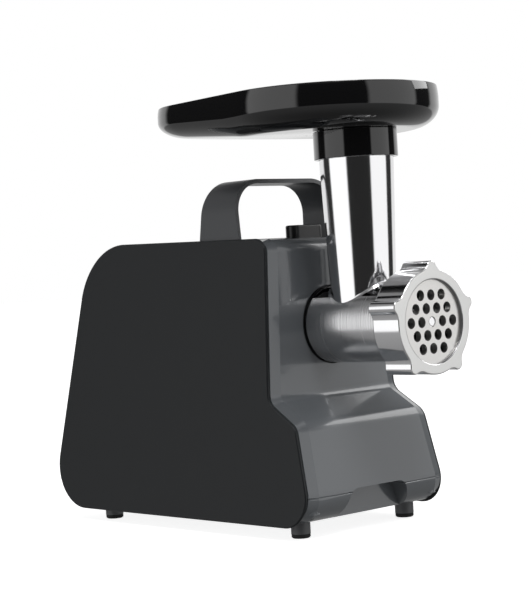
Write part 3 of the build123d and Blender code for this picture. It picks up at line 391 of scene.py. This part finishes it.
charcoal = finish_of("charcoal_gloss", (0.138, 0.148, 0.159), 0.17, 0.04, coat=0.5)
matt_black = finish_of("matt_black_side", (0.0095, 0.0115, 0.0135), 0.45, 0.06, specular=0.4, bump=0.2)
satin_strap = finish_of("satin_strap", (0.085, 0.089, 0.095), 0.33, 0.05, bump=0.1)
foot_grey = finish_of("foot_grey", (0.1, 0.103, 0.108), 0.45)
pad_black = finish_of("pad_rubber", (0.012, 0.012, 0.012), 0.75, bump=0.3)
tray_black = finish_of("tray_gloss", (0.006, 0.006, 0.0065), 0.06, 0.03, coat=0.5)
button_black = finish_of("button_satin", (0.014, 0.014, 0.015), 0.3, bump=0.1)
inner_plastic = finish_of("inner_plastic", (0.03, 0.03, 0.032), 0.5)
polished = finish_of("polished_aluminium", (0.88, 0.88, 0.89), 0.10, 0.04, metallic=1.0)
barrel_metal = finish_of("machined_barrel", (0.7, 0.7, 0.71), 0.2, 0.1, metallic=1.0)
face_metal = finish_of("satin_face", (0.8, 0.8, 0.79), 0.34, 0.06, metallic=1.0, bump=0.05)
# the blade and auger sit behind the plate's holes; their steel is painted near black as shade
blade_steel = finish_of("blade_steel", (0.045, 0.045, 0.047), 0.35, 0.06, metallic=1.0)
# the wall of the nut's opening is the same aluminium, painted dark as shade
painted_shade_lip_metal = finish_of("lip_wall", (0.3, 0.3, 0.31), 0.3, 0.06, metallic=1.0)
plate_steel = finish_of("plate_steel", (0.84, 0.83, 0.81), 0.36, 0.06, metallic=1.0, bump=0.08)
satin_steel = finish_of("satin_steel", (0.62, 0.62, 0.63), 0.3, 0.08, metallic=1.0, bump=0.1)
cast_metal = finish_of("cast_metal", (0.6, 0.6, 0.61), 0.38, 0.1, metallic=1.0, bump=0.3, scale=500)
brass = finish_of("turned_brass", (0.6, 0.42, 0.16), 0.25, metallic=1.0)
nylon = finish_of("natural_nylon", (0.62, 0.58, 0.45), 0.4)
copper = finish_of("copper_winding", (0.5, 0.2, 0.08), 0.3, metallic=1.0, bump=0.3, scale=1500)
carbon_black = finish_of("pressed_carbon", (0.02, 0.02, 0.02), 0.6)
board_green = finish_of("board_laminate", (0.02, 0.11, 0.04), 0.3, coat=0.4)
film_yellow = finish_of("capacitor_shell", (0.5, 0.3, 0.03), 0.35)
print("materials", len(bpy.data.materials))

# %% [markdown]
# ## Machining marks
# The barrel is finished on a lathe, which leaves fine rings round it. A noise that is
# stretched until it varies only along the barrel gives those rings, as a bump and as a
# small change of roughness.

# %% Lathe rings on the barrel
lathe_tree = barrel_metal.node_tree
lathe_shader = lathe_tree.nodes["Principled BSDF"]
lathe_place = lathe_tree.nodes.new("ShaderNodeTexCoord")
lathe_stretch = lathe_tree.nodes.new("ShaderNodeMapping")
lathe_stretch.inputs["Scale"].default_value = (6, 800, 6)
lathe_tree.links.new(lathe_place.outputs["Object"], lathe_stretch.inputs["Vector"])
lathe_noise = lathe_tree.nodes.new("ShaderNodeTexNoise")
lathe_noise.inputs["Scale"].default_value = 1.0
lathe_noise.inputs["Detail"].default_value = 3
lathe_tree.links.new(lathe_stretch.outputs["Vector"], lathe_noise.inputs["Vector"])
lathe_bump = lathe_tree.nodes.new("ShaderNodeBump")
lathe_bump.inputs["Strength"].default_value = 0.3
lathe_bump.inputs["Distance"].default_value = 0.0002
lathe_tree.links.new(lathe_noise.outputs["Fac"], lathe_bump.inputs["Height"])
lathe_tree.links.new(lathe_bump.outputs["Normal"], lathe_shader.inputs["Normal"])
lathe_rough = lathe_tree.nodes.new("ShaderNodeMapRange")
lathe_rough.inputs["To Min"].default_value = 0.12
lathe_rough.inputs["To Max"].default_value = 0.34
lathe_tree.links.new(lathe_noise.outputs["Fac"], lathe_rough.inputs["Value"])
lathe_tree.links.new(lathe_rough.outputs["Result"], lathe_shader.inputs["Roughness"])
print("lathe rings placed")

# %% [markdown]
# ## Finishes for the pieces that stay as CAD
# The gears, motor and screws already have their true shapes, so only their finish
# changes. Each record slot is given one of the materials above.

# %% Repaint the CAD nodes
slot_paint = {
    "charcoal_plastic": charcoal,
    "base_plastic": charcoal,
    "matte_black_plastic": matt_black,
    "handle_plastic": satin_strap,
    "foot_plastic": foot_grey,
    "pad_rubber": pad_black,
    "polished_casting": polished,
    "plate_steel": satin_steel,
    "auger_casting": cast_metal,
    "bush_brass": brass,
    "gloss_black_plastic": tray_black,
    "button_plastic": button_black,
    "gear_plastic": nylon,
    "gear_steel": satin_steel,
    "gearbox_plastic": inner_plastic,
    "bracket_aluminium": cast_metal,
    "screw_steel": satin_steel,
    "copper_winding": copper,
    "carbon": carbon_black,
    "board_laminate": board_green,
    "capacitor_plastic": film_yellow,
    "gland_rubber": pad_black,
}
node_slot = {part["node"]: part["material_slot"] for part in frame["record"]["subparts"]}
for node, piece in frame["nodes"].items():
    for index in range(len(piece.material_slots)):
        piece.material_slots[index].material = slot_paint[node_slot[node]]
# the blade and auger get the steel with painted shade, the plate its own satin steel
own_paint = {"cutting_blade": blade_steel, "auger": blade_steel, "grinding_plate": plate_steel}
for node, paint in own_paint.items():
    frame["nodes"][node].material_slots[0].material = paint
print("repainted", len(frame["nodes"]), "nodes")

# %% [markdown]
# ## Softer copies of moulded pieces
# The CAD shapes have knife edges, which never catch the light. A copy of such a mesh is
# merged into one skin, its flat faces are joined, and its sharp edges are bevelled by a
# few tenths of a millimetre. The copy is then shaded smooth between its real corners.

# %% Helper for soft copies
seam_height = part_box("upper_housing")[0][2]
groove_height, groove_depth = 0.4 * mm, 0.5 * mm
at_seam = 0.01 * mm
bodies = frame["record"]["behaviour"]["bodies"]
body_of = {node: name for name, nodes in bodies.items() for node in nodes}


def show(bm, name, body, paint, corner=32, crease=None):
    """Turn a bmesh into a piece that rides on a body, smooth between corners in degrees.

    Edges that don't run across the machine can be given a finer limit, crease.
    """
    for edge in bm.edges:
        along = (edge.verts[0].co - edge.verts[1].co).normalized()
        limit = crease if crease and abs(along.x) < 0.5 else corner
        edge.smooth = len(edge.link_faces) == 2 and edge.calc_face_angle(0) < radians(limit)
    for face in bm.faces:
        face.smooth = True
    mesh = bpy.data.meshes.new(name)
    bm.to_mesh(mesh)
    bm.free()
    mesh.materials.append(paint)
    piece = bpy.data.objects.new(name, mesh)
    bpy.context.scene.collection.objects.link(piece)
    # flat faces keep their own direction where they meet a bevel
    even = piece.modifiers.new("even_shading", "WEIGHTED_NORMAL")
    even.keep_sharp = True
    even.weight = 80
    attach(piece, body)
    return piece


def seam_groove(bm, height, side):
    """Draw the wall in beside the seam; side is 1 for the shell above it and -1 below."""
    whole = bm.verts[:] + bm.edges[:] + bm.faces[:]
    cut = (0, 0, height + side * groove_height)
    bmesh.ops.bisect_plane(bm, geom=whole, dist=1e-7, plane_co=cut, plane_no=(0, 0, 1))
    bm.normal_update()
    for vert in bm.verts:
        inwards = Vector((-vert.normal.x, -vert.normal.y, 0))
        if abs(vert.co.z - height) < at_seam and inwards.length > 0.1:
            vert.co += inwards.normalized() * groove_depth


def soft_copy(node, name, round_off, segments=3, corner=32, crease=None, seam_side=0):
    """A merged, bevelled copy of a CAD node that is shown in its place."""
    bm = bmesh.new()
    bm.from_mesh(frame["nodes"][node].data)
    bmesh.ops.remove_doubles(bm, verts=bm.verts, dist=1e-6)
    bmesh.ops.dissolve_limit(bm, angle_limit=radians(0.05), verts=bm.verts, edges=bm.edges)
    joined = [edge for edge in bm.edges if len(edge.link_faces) == 2]
    sharp = [edge for edge in joined if edge.calc_face_angle(0) > radians(corner)]
    if seam_side:
        # the seam's own edges are left for its groove
        sharp = [edge for edge in sharp if any(abs(v.co.z - seam_height) > at_seam for v in edge.verts)]
    if round_off:
        bmesh.ops.bevel(
            bm,
            geom=sharp,
            offset=round_off,
            segments=segments,
            profile=0.5,
            affect="EDGES",
            material=-1,
            clamp_overlap=True,
        )
    if seam_side:
        seam_groove(bm, seam_height, seam_side)
    slot = node_slot[node]
    piece = show(bm, name, body_of[node], slot_paint[slot], corner, crease)
    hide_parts(node)
    return piece


for node, name, round_off in (
    ("carry_handle", "carrying_strap", 0.7 * mm),
    ("right_side_panel", "right_side_cover", 0.4 * mm),
    ("left_side_panel", "left_side_cover", 0.4 * mm),
    ("release_button", "release_key", 0.4 * mm),
):
    piece = soft_copy(node, name, round_off)
    print(name, len(piece.data.polygons), "faces")
for node, name, side in (("upper_housing", "upper_shell", 1), ("base_pan", "base_shell", -1)):
    piece = soft_copy(node, name, 0.3 * mm, segments=2, crease=9, seam_side=side)
    print(name, len(piece.data.polygons), "faces")

# %% [markdown]
# ## Latch spring
# The spring under the latch stands on a shelf and is pressed down by the yoke. It is
# copied like the other soft pieces, without a bevel, and given a mesh of its own.

# %% Latch spring
spring = soft_copy("latch_spring", "latch_coil", 0)
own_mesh(spring)

# %% [markdown]
# ## Hopper tube and barrel
# The mincer's body is one aluminium casting: a polished tube stands on a barrel that lies
# along the machine. A union of two cylinders would leave a ragged joint, so each is turned
# on its own axis, and the foot of the tube is shaped to flow onto the barrel in a fillet.

# %% Turned shapes
def turned(points, axis, centre, steps=96):
    """A profile of (radius, place along the axis) points spun into a full ring."""
    bm = bmesh.new()
    side = Vector((0, 1, 0)) if axis.x else Vector((1, 0, 0))
    corners = [bm.verts.new(Vector(centre) + side * radius + axis * along) for radius, along in points]
    lines = [bm.edges.new(pair) for pair in zip(corners, corners[1:])]
    bmesh.ops.spin(
        bm,
        geom=corners + lines,
        cent=centre,
        axis=axis,
        dvec=(0, 0, 0),
        angle=2 * pi,
        steps=steps,
        use_merge=True,
        use_duplicate=False,
    )
    bmesh.ops.remove_doubles(bm, verts=bm.verts, dist=1e-6)
    bmesh.ops.recalc_face_normals(bm, faces=bm.faces)
    return bm


def soft_corner(before, corner, after, radius, steps=3):
    """Points that round a profile's corner between its two neighbours."""
    here = Vector(corner)
    first = here + (Vector(before) - here).normalized() * radius
    last = here + (Vector(after) - here).normalized() * radius
    rounded = []
    for step in range(steps + 1):
        t = step / steps
        point = first * (1 - t) ** 2 + here * 2 * t * (1 - t) + last * t**2
        rounded.append((point.x, point.y))
    return rounded


def softened(points, radius, closed=True, steps=3):
    """A profile with every corner rounded; a closed one joins its end to its start."""
    count = len(points)
    result = []
    for index, corner in enumerate(points):
        if not closed and index in (0, count - 1):
            result.append(corner)
            continue
        before, after = points[index - 1], points[(index + 1) % count]
        result += soft_corner(before, corner, after, radius, steps)
    if closed:
        result.append(result[0])
    return result


head_low, head_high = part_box("grinding_head")
nut_low, nut_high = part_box("ring_nut")
tray_low, tray_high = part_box("tray")
tube_top = head_high[2]
tube_top_radius = 26.6 * mm
tube_foot_radius = 22.6 * mm
tube_wall = 2.4 * mm
barrel_radius = 28.0 * mm
bore_radius = 24.0 * mm
neck_drop = 20.0 * mm
parallel_from = tube_top - neck_drop - 4 * mm
y_axis, z_axis = Vector((0, 1, 0)), Vector((0, 0, 1))
print("tube top", round(tube_top, 4), "head box", head_low, head_high)

# %% Hopper tube
flow = 2.0 * mm
flow_steps = 7
tube_rows = 10
rim_bevel = 0.6 * mm
sink = 0.15 * mm
root_two = 1.41421


def tube_radius(z):
    """Outer radius of the tapered tube at a height."""
    share = max(0.0, min(1.0, (z - barrel_z) / (parallel_from - barrel_z)))
    return tube_foot_radius + share * (tube_top_radius - tube_foot_radius)


# The profile's second number is only a code for its row. It is turned into a height below:
# under 0 in the fillet, 0 to 1 up the taper, and 2 to 5 over the rim and down the inside.
outer = [(tube_foot_radius, -1 - step) for step in range(flow_steps)]
outer += [(tube_foot_radius, step / tube_rows) for step in range(tube_rows + 1)]
outer += [(tube_top_radius, 2.0), (tube_top_radius - rim_bevel, 3.0)]
inner = [(tube_top_radius - tube_wall, 3.0), (tube_top_radius - tube_wall, 4.0)]
inner.append((tube_foot_radius - tube_wall, 5.0))
rim_heights = {2: tube_top - rim_bevel, 3: tube_top, 4: parallel_from, 5: barrel_z + bore_radius}
flow_rows = outer[:flow_steps][::-1]
tube_bm = turned(flow_rows + outer[flow_steps:] + inner, z_axis, (0, throat_y, 0))
for vert in tube_bm.verts:
    code = round(vert.co.z, 4)
    around = Vector((vert.co.x, vert.co.y - throat_y, 0)).normalized()
    foot_x = around.x * (tube_radius(barrel_z + barrel_radius) + flow * 0.5)
    meet = barrel_z + (barrel_radius**2 - foot_x**2) ** 0.5
    if code < 0:
        lean = -(code + 1) / (flow_steps - 1) * pi / 2
        radius = tube_radius(meet + flow) + flow * (1 - cos(lean))
        height = meet + flow * (1 - sin(lean))
        x = around.x * radius
        on_barrel = barrel_z + (barrel_radius**2 - x**2) ** 0.5
        # the fillet's last rows settle just under the barrel's surface
        height = height + (on_barrel - sink - height) * (sin(lean / 2) * root_two) ** 6
    elif code <= 1:
        height = meet + flow + code * (parallel_from - meet - flow)
        radius = tube_radius(height)
    else:
        radius = Vector((vert.co.x, vert.co.y - throat_y)).length
        height = rim_heights[round(code)]
    vert.co = Vector((around.x * radius, throat_y + around.y * radius, height))
bmesh.ops.recalc_face_normals(tube_bm, faces=tube_bm.faces)
tube = show(tube_bm, "hopper_tube", "head", polished)
print("hopper tube faces", len(tube.data.polygons))

# %% Barrel
shank_radius = 26.5 * mm
shank_back = head_high[1]
shank_front = shank_back - 24.0 * mm
nut_back = nut_high[1]
collar_radius = 33.0 * mm
barrel_profile = [
    (bore_radius, nut_back - 2 * mm),
    (bore_radius, shank_back - 5 * mm),
    (11.0 * mm, shank_back - 5 * mm),
    (11.0 * mm, shank_back),
    (shank_radius, shank_back),
    (shank_radius, shank_front),
    (barrel_radius, shank_front),
    (barrel_radius, nut_back + 4 * mm),
    (collar_radius, nut_back - 1 * mm),
    (collar_radius, nut_back - 4 * mm),
    (bore_radius + 7.1 * mm, nut_back - 4 * mm),
]
barrel_bm = turned(softened(barrel_profile, 0.4 * mm, steps=2), y_axis, (0, 0, barrel_z), steps=120)
throat_faces = []
for face in barrel_bm.faces:
    centre = face.calc_center_median()
    from_throat = Vector((centre.x, centre.y - throat_y)).length
    if centre.z > barrel_z and from_throat < tube_foot_radius - tube_wall:
        throat_faces.append(face)
bmesh.ops.delete(barrel_bm, geom=throat_faces, context="FACES")
barrel = show(barrel_bm, "mincer_barrel", "head", barrel_metal)
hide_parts("grinding_head")
print("barrel faces", len(barrel.data.polygons))

# %% [markdown]
# ## Clamping nut
# The nut is turned aluminium with five grip lobes. Its sides are polished, its front face
# is left satin, and the wall of its opening is painted darker as shade. Each face gets its
# material by the direction it looks in and by its distance from the nut's axis.

# %% Clamping nut
nut = soft_copy("ring_nut", "clamping_nut", 1.1 * mm, segments=4)
nut.data.materials.append(face_metal)
# the third material is the opening wall's aluminium with painted shade
nut.data.materials.append(painted_shade_lip_metal)
nut_front = nut_low[1]
nut_opening = 29.2 * mm
for face in nut.data.polygons:
    from_axis = Vector((face.center.x, face.center.z - barrel_z))
    if face.normal.y < -0.97 and abs(face.center.y - nut_front) < 0.2 * mm:
        face.material_index = 1
    # faces on the opening's wall get the metal with painted shade
    elif abs(from_axis.length - nut_opening) < 0.3 * mm:
        face.material_index = 2
print("nut faces", len(nut.data.polygons))

# %% Shaft end in the plate
plate_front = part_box("grinding_plate")[0][1]
stub_profile = [
    (0.0001 * mm, plate_front + 0.25 * mm),
    (2.9 * mm, plate_front + 0.25 * mm),
    (3.5 * mm, plate_front + 0.8 * mm),
    (3.5 * mm, plate_front + 1.4 * mm),
]
stub_bm = turned(softened(stub_profile, 0.25 * mm, closed=False), y_axis, (0, 0, barrel_z), steps=48)
stub = show(stub_bm, "shaft_end", "auger_body", polished)
print("shaft end faces", len(stub.data.polygons))

# %% [markdown]
# ## Food tray
# The tray is a shallow gloss dish whose plan is a large arc at the front and a smaller one
# at the back, joined by straight sides. Its outline is made by spinning one point through
# each arc. The same outline is made again for each row down the wall and round into the
# floor, and neighbouring rows are bridged.

# %% Tray dish
tray_front_radius = tray_high[0]
tray_back_radius = 67.0 * mm
tray_front_y = tray_low[1] + tray_front_radius
tray_back_y = tray_high[1] - tray_back_radius
tray_rim = tray_high[2]
tray_bottom = tray_low[2] + neck_drop
tray_wall = 2.6 * mm
throat_radius = 23.6 * mm
neck_radius = 30.1 * mm
slip_radius = 26.9 * mm
arc_tilt = asin((tray_front_radius - tray_back_radius) / (tray_back_y - tray_front_y))
dish_depth = tray_rim - tray_bottom
wall_depth = 14.5 * mm
round_reach = 21.0 * mm
round_steps = 12
swell = 0.8 * mm
slope_start = throat_y + 55.0 * mm
back_rise = 10.3 * mm


def outline_loop(bm, shrink, z, steps=48):
    """The tray's plan as a closed loop of edges at height z, brought in by shrink."""
    made, loop = [], []
    for radius, centre_y, start, sweep in (
        (tray_front_radius - shrink, tray_front_y, arc_tilt, -(pi + 2 * arc_tilt)),
        (tray_back_radius - shrink, tray_back_y, pi - arc_tilt, -(pi - 2 * arc_tilt)),
    ):
        centre = Vector((0, centre_y, z))
        first = bm.verts.new(centre + radius * Vector((cos(start), sin(start), 0)))
        known = set(bm.edges)
        spun = bmesh.ops.spin(
            bm,
            geom=[first],
            cent=centre,
            axis=z_axis,
            angle=sweep,
            steps=steps,
            use_duplicate=False,
        )
        last = [item for item in spun["geom_last"] if isinstance(item, bmesh.types.BMVert)][0]
        loop += [edge for edge in bm.edges if edge not in known]
        made.append((first, last))
    (first_a, last_a), (first_b, last_b) = made
    loop.append(bm.edges.new((last_a, first_b)))
    loop.append(bm.edges.new((last_b, first_a)))
    straight = bmesh.ops.subdivide_edges(bm, edges=loop[-2:], cuts=12)
    parts = [item for item in straight["geom"] if isinstance(item, bmesh.types.BMEdge)]
    # each edge once, always in the same order
    return list(dict.fromkeys(loop + parts))


def dish(rows, hole_z):
    """An open dish from (shrink, depth under the rim) rows, with a hole for the throat."""
    bm = bmesh.new()
    loops = [outline_loop(bm, shrink, tray_rim - depth) for shrink, depth in rows]
    for upper, lower in zip(loops, loops[1:]):
        bmesh.ops.bridge_loops(bm, edges=upper + lower)
    hole = bmesh.ops.create_circle(
        bm,
        segments=64,
        radius=throat_radius,
        matrix=Matrix.Translation((0, throat_y, hole_z)),
    )
    hole_edges = list(dict.fromkeys(edge for vert in hole["verts"] for edge in vert.link_edges))
    bmesh.ops.bridge_loops(bm, edges=loops[-1] + hole_edges)
    return bm


def dish_rows(depth, reach, start, inset):
    """A near-upright wall that swells a little, then a long round into the floor."""
    rows = [(inset, start), (inset - swell * 0.7, start + 4 * mm), (inset - swell, wall_depth * 0.6)]
    for step in range(round_steps + 1):
        lean = step / round_steps * pi / 2
        shrink = inset - swell + reach * (1 - cos(lean))
        rows.append((shrink, wall_depth + (depth - wall_depth) * sin(lean)))
    return rows


lip = 0.9 * mm
lip_in, lip_down = lip * 0.35, lip * 0.25
outer_rows = [(tray_wall / 2, 0.0), (lip_in, lip_down)]
outer_rows += dish_rows(dish_depth, round_reach, lip, 0.0)
inner_rows = [(tray_wall / 2, 0.0), (tray_wall - lip_in, lip_down)]
inner_rows += dish_rows(dish_depth - tray_wall, round_reach - tray_wall, lip, tray_wall)
outer_dish = dish(outer_rows, tray_bottom)
inner_dish = dish(inner_rows, tray_bottom + tray_wall)
inner_mesh = bpy.data.meshes.new("inner_dish")
inner_dish.to_mesh(inner_mesh)
inner_dish.free()
outer_dish.from_mesh(inner_mesh)
bpy.data.meshes.remove(inner_mesh)
bmesh.ops.remove_doubles(outer_dish, verts=outer_dish.verts, dist=1e-6)
open_edges = [edge for edge in outer_dish.edges if edge.is_boundary]
bmesh.ops.bridge_loops(outer_dish, edges=open_edges)
# the dish grows shallower behind the throat
for vert in outer_dish.verts:
    share = max(0.0, vert.co.y - slope_start) / (tray_high[1] - slope_start)
    vert.co.z = tray_rim - (tray_rim - vert.co.z) * (1 - share * back_rise / dish_depth)
bmesh.ops.recalc_face_normals(outer_dish, faces=outer_dish.faces)
tray_piece = show(outer_dish, "food_dish", "food_tray", tray_black)
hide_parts("tray")

neck_profile = [
    (slip_radius, tray_bottom),
    (slip_radius, tray_low[2]),
    (neck_radius, tray_low[2]),
    (neck_radius, tray_bottom),
]
neck_bm = turned(softened(neck_profile, 0.7 * mm), z_axis, (0, throat_y, 0), steps=96)
neck = show(neck_bm, "tray_neck", "food_tray", tray_black)
print("tray faces", len(tray_piece.data.polygons), "neck faces", len(neck.data.polygons))
